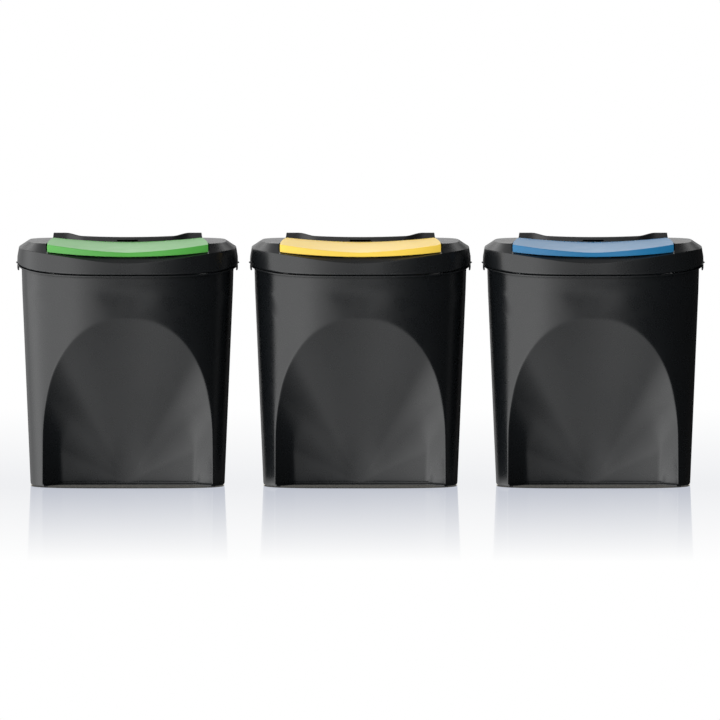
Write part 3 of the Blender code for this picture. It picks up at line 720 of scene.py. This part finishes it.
def lid_skin():
    """Skirt, sloping shoulder, plateau with its opening, and the ridge."""
    front_columns = 48
    side_columns = 26
    back_columns = 48
    skin = Skin()
    half_x = OPENING_HALF_WIDTH - COLUMN_GAP
    xs = [mix(-half_x, half_x, i / front_columns) for i in range(front_columns + 1)]
    xs = [-LID_FRONT_X, -OPENING_HALF_WIDTH] + xs + [OPENING_HALF_WIDTH, LID_FRONT_X]
    rest = 2 * (side_columns + 1) + back_columns

    side_steps = 40
    side_path = []
    for step in range(side_steps + 1):
        y = mix(OPENING_START_Y, RIDGE_FACE_Y[1], step / side_steps)
        side_path.append((opening_half_width(y), y))
    right = resample(side_path, side_columns) + [(RIDGE_HALF_WIDTH, RIDGE_BACK_Y)]
    back = [
        (mix(RIDGE_HALF_WIDTH, -RIDGE_HALF_WIDTH, i / back_columns), RIDGE_BACK_Y)
        for i in range(back_columns + 1)
    ]
    border_rest = right + back[1:-1] + [(-x, y) for x, y in reversed(right)]

    tucks = lid_outline(HEM_TUCK, xs, rest)
    hems = lid_outline(0.0, xs, rest)
    crowns = lid_outline(SKIRT_TOP_INSET, xs, rest)
    shoulders = lid_outline(SKIRT_TOP_INSET + PLATEAU_INSET, xs, rest)
    last = len(xs) - 1
    paths = []
    for index, (tuck, hem, crown, shoulder) in enumerate(zip(tucks, hems, crowns, shoulders)):
        crown = (*crown, skirt_top_z(*crown))
        tuck = (*tuck, rim_z(hem[1]))
        hem = (*hem, rim_z(hem[1]) + HEM_HEIGHT)
        if 2 <= index < last - 1:
            x = xs[index]
            hem_y, hem_z = flap_hem(x)
            lip_y = hem_y + FLAP_WALL + mix(*LIP_DEPTH, smooth(abs(x) / OPENING_HALF_WIDTH))
            lip_z = min(hem_z + LIP_RISE, crown[2] + (lip_y - crown[1]) * LIP_SLOPE)
            shoulder = (x, lip_y, lip_z)
            inner = (x, lip_y + LIP_WIDTH, lip_z)
        else:
            shoulder = (*shoulder, PLATEAU_Z)
            if index in (1, last - 1):
                inner = (xs[index], OPENING_START_Y - OPENING_STEP, PLATEAU_Z)
            elif index == 0:
                inner = (*border_rest[-1], PLATEAU_Z)
            elif index == last:
                inner = (*border_rest[0], PLATEAU_Z)
            else:
                inner = (*border_rest[index - last], PLATEAU_Z)
        paths.append(round_corners([tuck, hem, crown, shoulder, inner], LID_EDGE_ROUND))
    rings = [[skin.add(*path[level]) for path in paths] for level in range(len(paths[0]))]
    for lower, upper in zip(rings, rings[1:]):
        skin.rings(lower, upper)

    # ridge
    border = rings[-1]
    first = last + side_columns + 1
    base_row = border[first:first + back_columns + 1]
    profiles = []
    for x, _ in back:
        top_x = x * (1.0 - RIDGE_TAPER / RIDGE_HALF_WIDTH)
        base = (x, RIDGE_BACK_Y, PLATEAU_Z)
        top_back = (top_x, RIDGE_BACK_Y - RIDGE_BACK_SLOPE, ridge_top_z(top_x) - RIDGE_BACK_DROP)
        top_front = (top_x, ridge_face_y(top_x) + RIDGE_LEAN, ridge_top_z(top_x))
        low = (x, ridge_face_y(x), RIDGE_SKIRT_Z)
        profiles.append(round_corners([base, top_back, top_front, low], RIDGE_ROUND, 4))
    rows = [base_row]
    for level in range(1, len(profiles[0])):
        rows.append([skin.add(*profile[level]) for profile in profiles])
    for lower, upper in zip(rows, rows[1:]):
        skin.strips(lower, upper)
    right_front = border[first - 1]
    left_front = border[(first + back_columns + 1) % len(border)]
    skin.faces.append((right_front, *[row[0] for row in rows]))
    skin.faces.append(tuple(reversed((left_front, *[row[-1] for row in rows]))))
    return skin


def knuckle_outline(radius, start, end, corners, sides=28):
    """A round eye on the hinge axis and the corner points of its web."""
    points = []
    for side in range(sides):
        angle = mix(start, end, side / (sides - 1))
        points.append((HINGE_Y + radius * math.cos(angle), HINGE_Z + radius * math.sin(angle)))
    return points + list(corners)


def lug_outline():
    """The lid's eye, on a stem that comes out of the ridge's face."""
    back = RIDGE_FACE_Y[1] + LUG_GAP[0]
    low = RIDGE_SKIRT_Z + LUG_GAP[1]
    high = low + LUG_ARM
    corners = ((HINGE_Y - LUG_STEM, low), (back, low), (back, high), (HINGE_Y + LUG_STEM, high))
    return knuckle_outline(LUG_RADIUS, *LUG_ARC, corners)


def ear_outline():
    """The flap's eye, on a web under the flap's top."""
    corners = [(HINGE_Y + y, EAR_TOP_Z) for y in EAR_WEB_Y]
    return knuckle_outline(EAR_RADIUS, *EAR_ARC, corners)


def hinge_tools(kind, outline, x_range):
    """An eye on each side and the bore through it."""
    tools = []
    for side in (-1, 1):
        xs = [side * x for x in x_range]
        bore = [side * (PIN_X[0] - BORE_OVERRUN), side * (PIN_X[1] + BORE_OVERRUN)]
        tools.append((plate_x(f"{kind}_eye_{side}", outline, xs), "UNION"))
        tools.append((plate_x(f"{kind}_bore_{side}", disc_outline(BORE_RADIUS), bore), "DIFFERENCE"))
    return tools


def lid_object(name):
    lid = link(name, lid_skin().mesh(name))
    thicken(lid, LID_WALL)
    low = FLAP_REAR_Z[0] + SLOT_ABOVE_FLAP
    high = low + SLOT_HEIGHT
    front, back = (RIDGE_FACE_Y[0] + reach for reach in SLOT_REACH)
    outline = ((front, low), (back, low), (back, high), (front, high))
    slot = plate_x(name + "_slot", outline, (-SLOT_HALF_WIDTH, SLOT_HALF_WIDTH))
    carve(lid, hinge_tools("lid", lug_outline(), LUG_X) + [(slot, "DIFFERENCE")])
    finish_surface(lid)
    return lid


# ---- flap ----------------------------------------------------------------------------------------
def flap_skin():
    """Front face, dished top and a rear edge rolled round the hinge."""
    columns = 64
    top_rows = 22
    roll_rows = 6
    corner_steps = 4
    skin = Skin()
    side_gap = OPENING_HALF_WIDTH - FLAP_FRONT_HALF_WIDTH
    paths = []
    for column in range(columns + 1):
        across = -1.0 + 2.0 * column / columns
        x = across * FLAP_FRONT_HALF_WIDTH
        hem_y, hem_z = flap_hem(x)
        crease_z = mix(*FLAP_CREASE_Z, abs(across) ** FLAP_CREASE_POWER)
        rear_z = mix(*FLAP_REAR_Z, abs(across) ** FLAP_REAR_POWER)
        crease_y = hem_y + FLAP_FACE_LEAN

        def top_point(share):
            y = mix(crease_y, FLAP_REAR_Y, share)
            z = mix(crease_z, rear_z, 1.0 - (1.0 - share) ** FLAP_TOP_POWER)
            return Vector((across * (opening_half_width(y) - side_gap), y, z))

        corner = [(x, hem_y, hem_z), top_point(0.0), top_point(1.0 / top_rows)]
        path = round_corners(corner, FLAP_CREASE_ROUND, corner_steps)[:-1]
        path += [top_point(row / top_rows) for row in range(1, top_rows + 1)]
        end = path[-1]
        rise, behind = end.z - HINGE_Z, end.y - HINGE_Y
        for row in range(1, roll_rows + 1):
            roll = FLAP_ROLL * row / roll_rows
            y = HINGE_Y + behind * math.cos(roll) + rise * math.sin(roll)
            z = HINGE_Z + rise * math.cos(roll) - behind * math.sin(roll)
            path.append(Vector((end.x, y, z)))
        paths.append(path)
    corner_rows = corner_steps + 2
    rows = []
    for level in range(len(paths[0])):
        row = [skin.add(*path[level]) for path in paths]
        if corner_rows <= level + 1 <= corner_rows + top_rows:
            share = (level + 1 - corner_rows) / top_rows
            drop = mix(*FLAP_LIP, share)
            for end, side in ((0, -1), (-1, 1)):
                edge = paths[end][level]
                number = skin.add(edge.x + side * FLAP_LIP_SPLAY, edge.y, edge.z - drop)
                row.insert(0 if end == 0 else len(row), number)
        rows.append(row)
    for level in range(len(rows) - 1):
        lower, upper = rows[level], rows[level + 1]
        if len(lower) == len(upper):
            skin.strips(lower, upper)
        elif len(lower) < len(upper):
            skin.strips(lower, upper[1:-1])
        else:
            skin.strips(lower[1:-1], upper)
    start = next(i for i, row in enumerate(rows) if len(row) > columns + 1)
    front_left = [row[0] for row in rows[:start]] + [rows[start][1]]
    front_right = [row[-1] for row in rows[:start]] + [rows[start][-2]]
    skin.faces.append((rows[start][0], *front_left))
    skin.faces.append(tuple(reversed((rows[start][-1], *front_right))))
    return skin


def flap_object(name):
    flap = link(name, flap_skin().mesh(name))
    thicken(flap, FLAP_WALL)
    carve(flap, hinge_tools("flap", ear_outline(), EAR_X))
    finish_surface(flap)
    return flap


# ---- materials -----------------------------------------------------------------------------------
ROUGHNESS_SPREAD = 0.035
# painted shade: in narrow gaps and inner corners an occlusion mask turns the greys' specular level down
CREVICE_SHADE_REACH = 0.008
CREVICE_SHADE_OPENNESS = (0.50, 0.76)
CREVICE_SHADE_SPECULAR = (0.04, 0.50)


def node(tree, kind, **sockets):
    """A shader node with unlinked inputs set by name, with _ for a space."""
    made = tree.nodes.new(kind)
    for key, value in sockets.items():
        made.inputs[key.replace("_", " ")].default_value = value
    return made


def combine(tree, operation, first, second):
    """Two values, each a socket or a number, put together."""
    made = tree.nodes.new("ShaderNodeMath")
    made.operation = operation
    for socket, value in zip(made.inputs, (first, second)):
        if isinstance(value, float):
            socket.default_value = value
        else:
            tree.links.new(value, socket)
    return made.outputs["Value"]


def ramp(tree, value, start, end, level_start, level_end, easing="LINEAR"):
    """A value that goes from one level to another between two thresholds."""
    made = node(tree, "ShaderNodeMapRange", From_Min=start, From_Max=end,
                To_Min=level_start, To_Max=level_end)
    made.interpolation_type = easing
    tree.links.new(value, made.inputs["Value"])
    return made.outputs["Result"]


def fade(tree, value, start, end, level_start, level_end):
    """A ramp that eases in and out."""
    return ramp(tree, value, start, end, level_start, level_end, "SMOOTHSTEP")


def openness(tree, reach):
    """1 in the open, less where other surfaces are within reach."""
    made = node(tree, "ShaderNodeAmbientOcclusion", Distance=reach)
    made.samples = 6
    return made.outputs["AO"]


def moulded_plastic(name, colour, roughness, grain_depth=0.00003, grain_size=0.0009, crevice_shade=False):
    """Injection-moulded plastic: a fine etched grain, faint flow marks, uneven gloss.

    Where asked, narrow gaps and inner corners get painted shade: an occlusion mask turns their shine
    down.
    """
    material = bpy.data.materials.new(name)
    material.use_nodes = True
    tree = material.node_tree
    shader = tree.nodes["Principled BSDF"]
    shader.inputs["Metallic"].default_value = 0.0
    shader.inputs["IOR"].default_value = 1.49
    place = tree.nodes.new("ShaderNodeTexCoord")

    flow = node(tree, "ShaderNodeTexNoise", Scale=9.0, Detail=3.0, Roughness=0.5)
    tree.links.new(place.outputs["Object"], flow.inputs["Vector"])
    tint = tree.nodes.new("ShaderNodeValToRGB")
    tint.color_ramp.elements[0].position = 0.30
    tint.color_ramp.elements[0].color = (*[c * 0.90 for c in colour], 1.0)
    tint.color_ramp.elements[1].position = 0.72
    tint.color_ramp.elements[1].color = (*[min(c * 1.08, 1.0) for c in colour], 1.0)
    tree.links.new(flow.outputs["Fac"], tint.inputs["Fac"])
    tree.links.new(tint.outputs["Color"], shader.inputs["Base Color"])

    gloss = node(tree, "ShaderNodeTexNoise", Scale=38.0, Detail=5.0, Roughness=0.6)
    tree.links.new(place.outputs["Object"], gloss.inputs["Vector"])
    spread = ramp(tree, gloss.outputs["Fac"], 0.30, 0.70,
                  roughness - ROUGHNESS_SPREAD, roughness + ROUGHNESS_SPREAD)
    tree.links.new(spread, shader.inputs["Roughness"])

    # painted shade: where other surfaces are near, the specular level falls, so gaps and inner corners
    # go dark
    if crevice_shade:
        level = ramp(tree, openness(tree, CREVICE_SHADE_REACH), *CREVICE_SHADE_OPENNESS, *CREVICE_SHADE_SPECULAR)
        tree.links.new(level, shader.inputs["Specular IOR Level"])

    grain = node(tree, "ShaderNodeTexVoronoi", Scale=1.0 / grain_size)
    tree.links.new(place.outputs["Object"], grain.inputs["Vector"])
    bump = node(tree, "ShaderNodeBump", Strength=0.35, Distance=grain_depth)
    tree.links.new(grain.outputs["Distance"], bump.inputs["Height"])
    tree.links.new(bump.outputs["Normal"], shader.inputs["Normal"])
    return material


def paint(thing, material):
    thing.data.materials.clear()
    thing.data.materials.append(material)


# ---- station -------------------------------------------------------------------------------------
def copy_of(source, name, offset_x):
    """A copy with its own mesh and the source's normal modifier."""
    thing = bpy.data.objects.new(name, source.data.copy())
    bpy.context.collection.objects.link(thing)
    for step in source.modifiers:
        twin = thing.modifiers.new(step.name, step.type)
        twin.keep_sharp = step.keep_sharp
        twin.weight = step.weight
    thing.location.x = offset_x
    return thing


def build_station():
    # both greys get painted shade in their narrow gaps and inner corners
    grey = moulded_plastic("anthracite_tub", (0.0040, 0.0048, 0.0056), 0.28, crevice_shade=True)
    lid_grey = moulded_plastic("anthracite_lid", (0.0050, 0.0058, 0.0066), 0.28, crevice_shade=True)
    colours = {
        "left": moulded_plastic("green_flap", (0.074, 0.375, 0.052), 0.34, 0.00002),
        "middle": moulded_plastic("yellow_flap", (0.960, 0.640, 0.070), 0.34, 0.00002),
        "right": moulded_plastic("blue_flap", (0.003, 0.150, 0.340), 0.34, 0.00002),
    }
    pin_black = moulded_plastic("black_pin", (0.012, 0.012, 0.013), 0.30, 0.00001)
    foot_black = moulded_plastic("black_foot", (0.014, 0.014, 0.014), 0.75, 0.00006, 0.0006)

    tub = link("tub_source", tub_mesh())
    finish_surface(tub, 40.0)
    lid = lid_object("lid_source")
    flap = flap_object("flap_source")
    grips = {}
    for side, word in ((-1, "left"), (1, "right")):
        grips["grip_" + word] = link("grip_source_" + word, grip_mesh(side))
        grips["nub_" + word] = link("nub_source_" + word, nub_mesh(side))
    for source in grips.values():
        finish_surface(source)

    for place in BINS:
        offset = bin_offset(place)
        shown = (
            (tub, "tub", grey, "bin", "tub_plastic"),
            (lid, "lid", lid_grey, "lid", "lid_plastic"),
            (flap, "flap", colours[place], "flap", place + "_flap_plastic"),
        )
        for source, word, material, body, slot in shown:
            piece = copy_of(source, f"{place}_{word}_moulding", offset)
            paint(piece, material)
            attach(piece, f"{place}_{body}")
            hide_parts(f"{place}_{word}")
        for word, source in grips.items():
            piece = copy_of(source, f"{place}_tub_{word}", offset)
            paint(piece, grey)
            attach(piece, place + "_bin")
        for name, thing in frame["nodes"].items():
            if name.startswith(place + "_hinge_pin"):
                paint(thing, pin_black)
            if name.startswith(place + "_foot"):
                paint(thing, foot_black)
    for source in (tub, lid, flap, *grips.values()):
        bpy.data.objects.remove(source, do_unlink=True)


# ---- floor, light and camera ---------------------------------------------------------------------
CAMERA_ELEVATION = math.radians(2.7)
VIEW_WIDTH = 1.262
VIEW_CENTRE_X = -0.0007
VIEW_CENTRE_Z = 0.2193
CAMERA_DISTANCE = 14.0
CAMERA_REACH = 100.0
FLOOR_REACH = 60.0
FLOOR_DROP = 0.0002
FLOOR_ROUGHNESS = 0.06
# the mirror fades with the distance from the middle, in front and to the sides
FLOOR_MIRROR = 0.49
FLOOR_MIRROR_AHEAD = (0.12, 2.85)
FLOOR_MIRROR_BESIDE = (0.8, 3.0)
# painted shadow: a dark patch on the floor under each bin, which goes when the bin is lifted
FLOOR_PAINTED_SHADOW = 0.97
FLOOR_PAINTED_SHADOW_EDGE = (0.97, 1.01)
FLOOR_PAINTED_SHADOW_REACH = 0.35
FLOOR_PAINTED_SHADOW_OPENNESS = (0.70, 0.90)
# colour of the mirror, and what is left of the paper's own white in it
FLOOR_TINT = (1.0, 0.95, 0.81)
FLOOR_GLOW_LEFT = (0.0, 0.05, 0.19)

SOFTBOX_LEVEL = 2.6
SOFTBOX_EDGE = (-0.38, 0.145)
# each fall: start, end, factor at the start, factor at the end
SOFTBOX_FAR_LEFT = (-1.0, -0.5, 0.95, 1.0)
SOFTBOX_BEHIND = (0.15, 0.90, 1.0, 0.15)
SOFTBOX_ABOVE = (0.35, 0.85, 1.0, 0.15)
STUDIO_LOBES = (
    # towards, full within and gone beyond (degrees), level
    ((0.0, 1.0, 0.047), 4.0, 7.0, 0.50),
    ((-0.10, 1.0, 0.35), 8.0, 25.0, 0.22),
    ((0.0, 0.80, 0.60), 8.0, 22.0, 2.2),
    ((-0.15, -0.80, 0.52), 6.0, 19.0, 1.5),
    ((-0.25, -0.75, -0.70), 20.0, 40.0, 0.45),
)
STUDIO_LEVEL = 0.02
ZENITH_LEVEL = 0.30
ZENITH_START = 0.75
DIFFUSE_SHARE = 0.30
DIFFUSE_FILL = 0.68


def build_floor():
    """White paper that mirrors the object faintly in front of it, with a painted shadow on it under
    each bin.
    """
    skin = Skin()
    corners = [
        skin.add(x * FLOOR_REACH, y * FLOOR_REACH, -FLOOR_DROP)
        for x, y in ((-1, -1), (1, -1), (1, 1), (-1, 1))
    ]
    skin.faces.append(tuple(corners))
    floor = link("floor", skin.mesh("floor"))
    material = bpy.data.materials.new("white_paper")
    material.use_nodes = True
    tree = material.node_tree
    tree.nodes.clear()
    split = tree.nodes.new("ShaderNodeSeparateXYZ")
    tree.links.new(tree.nodes.new("ShaderNodeNewGeometry").outputs["Position"], split.inputs["Vector"])
    y = split.outputs["Y"]
    across = combine(tree, "ABSOLUTE", split.outputs["X"], 0.0)
    ahead = combine(tree, "ABSOLUTE", y, 0.0)
    beside = combine(tree, "ABSOLUTE", combine(tree, "SUBTRACT", across, bin_offset("right")), 0.0)
    off_centre = combine(tree, "MINIMUM", across, beside)
    mirror = combine(tree, "MULTIPLY", ramp(tree, ahead, *FLOOR_MIRROR_AHEAD, FLOOR_MIRROR, 0.0),
                     ramp(tree, across, *FLOOR_MIRROR_BESIDE, 1.0, 0.0))
    shares = [combine(tree, "POWER", combine(tree, "DIVIDE", value, reach), FRONT_POWER)
              for value, reach in ((off_centre, TUB_BASE_HALF_WIDTH), (ahead, TUB_BASE_HALF_DEPTH))]
    # painted shadow: inside each bin's footprint, where the bin is near, the floor's glow is dimmed and
    # its mirror turned up
    painted_shadow = ramp(tree, combine(tree, "ADD", *shares), *FLOOR_PAINTED_SHADOW_EDGE, FLOOR_PAINTED_SHADOW, 0.0)
    covered = ramp(tree, openness(tree, FLOOR_PAINTED_SHADOW_REACH), *FLOOR_PAINTED_SHADOW_OPENNESS, 1.0, 0.0)
    painted_shadow = combine(tree, "MULTIPLY", painted_shadow, covered)
    glow = tree.nodes.new("ShaderNodeEmission")
    gloss = node(tree, "ShaderNodeBsdfGlossy", Roughness=FLOOR_ROUGHNESS)
    # the painted shadow dims the glow here and raises the mirror's share below
    tree.links.new(combine(tree, "SUBTRACT", 1.0, painted_shadow), glow.inputs["Strength"])
    for shader, share, back, front in (
            (glow, mirror, (1.0, 1.0, 1.0), FLOOR_GLOW_LEFT),
            (gloss, combine(tree, "MAXIMUM", mirror, painted_shadow), (0.0, 0.0, 0.0), FLOOR_TINT)):
        blend = tree.nodes.new("ShaderNodeMix")
        blend.data_type = "RGBA"
        blend.inputs["A"].default_value = (*back, 1.0)
        blend.inputs["B"].default_value = (*front, 1.0)
        tree.links.new(share, blend.inputs["Factor"])
        tree.links.new(blend.outputs["Result"], shader.inputs["Color"])
    both = tree.nodes.new("ShaderNodeAddShader")
    tree.links.new(glow.outputs["Emission"], both.inputs[0])
    tree.links.new(gloss.outputs["BSDF"], both.inputs[1])
    out = tree.nodes.new("ShaderNodeOutputMaterial")
    tree.links.new(both.outputs["Shader"], out.inputs["Surface"])
    floor.data.materials.append(material)
    floor.visible_diffuse = False
    floor.visible_glossy = False
    floor.visible_shadow = False


def lobe(tree, direction, toward, inner, outer, level):
    """A round patch of light: full within one angle of a direction, gone beyond another."""
    aim = tree.nodes.new("ShaderNodeVectorMath")
    aim.operation = "DOT_PRODUCT"
    aim.inputs[1].default_value = Vector(toward).normalized()
    tree.links.new(direction, aim.inputs[0])
    edge, core = math.cos(math.radians(outer)), math.cos(math.radians(inner))
    return fade(tree, aim.outputs["Value"], edge, core, 0.0, level)


def build_light():
    """A studio: a softbox down the whole left, patches behind, above and below, a dark right.

    Diffuse light is evened out, so the bright flaps don't fall off from left to right. The
    view itself sees white.
    """
    world = bpy.data.worlds.new("studio")
    bpy.context.scene.world = world
    world.use_nodes = True
    tree = world.node_tree
    tree.nodes.clear()
    place = tree.nodes.new("ShaderNodeTexCoord")
    direction = place.outputs["Generated"]
    split = tree.nodes.new("ShaderNodeSeparateXYZ")
    tree.links.new(direction, split.inputs["Vector"])
    x, y, z = (split.outputs[axis] for axis in "XYZ")

    total = fade(tree, x, *SOFTBOX_EDGE, SOFTBOX_LEVEL, 0.0)
    for value, fall in ((x, SOFTBOX_FAR_LEFT), (y, SOFTBOX_BEHIND), (z, SOFTBOX_ABOVE)):
        total = combine(tree, "MULTIPLY", total, fade(tree, value, *fall))
    total = combine(tree, "ADD", total, fade(tree, z, ZENITH_START, 1.0, STUDIO_LEVEL, ZENITH_LEVEL))
    for toward, inner, outer, level in STUDIO_LOBES:
        total = combine(tree, "ADD", total, lobe(tree, direction, toward, inner, outer, level))
    ray = tree.nodes.new("ShaderNodeLightPath")
    soft = ray.outputs["Is Diffuse Ray"]
    total = combine(tree, "MULTIPLY", total, ramp(tree, soft, 0.0, 1.0, 1.0, DIFFUSE_SHARE))
    total = combine(tree, "ADD", total, ramp(tree, soft, 0.0, 1.0, 0.0, DIFFUSE_FILL))
    studio = tree.nodes.new("ShaderNodeBackground")
    tree.links.new(total, studio.inputs["Strength"])
    studio.inputs["Color"].default_value = (1.0, 1.0, 1.0, 1.0)
    paper = tree.nodes.new("ShaderNodeBackground")
    paper.inputs["Color"].default_value = (1.0, 1.0, 1.0, 1.0)
    pick = tree.nodes.new("ShaderNodeMixShader")
    tree.links.new(ray.outputs["Is Camera Ray"], pick.inputs["Fac"])
    tree.links.new(studio.outputs["Background"], pick.inputs[1])
    tree.links.new(paper.outputs["Background"], pick.inputs[2])
    out = tree.nodes.new("ShaderNodeOutputWorld")
    tree.links.new(pick.outputs["Shader"], out.inputs["Surface"])


def build_camera():
    data = bpy.data.cameras.new("camera")
    data.type = "ORTHO"
    data.ortho_scale = VIEW_WIDTH
    data.clip_end = CAMERA_REACH
    camera = bpy.data.objects.new("camera", data)
    bpy.context.collection.objects.link(camera)
    target = Vector((VIEW_CENTRE_X, 0.0, VIEW_CENTRE_Z))
    back = Vector((0.0, -math.cos(CAMERA_ELEVATION), math.sin(CAMERA_ELEVATION)))
    camera.location = target + back * CAMERA_DISTANCE
    camera.rotation_euler = (math.pi / 2.0 - CAMERA_ELEVATION, 0.0, 0.0)
    bpy.context.scene.camera = camera


build_camera()
build_station()
build_floor()
build_light()
bpy.context.scene.view_settings.view_transform = "Standard"
bpy.context.view_layer.update()
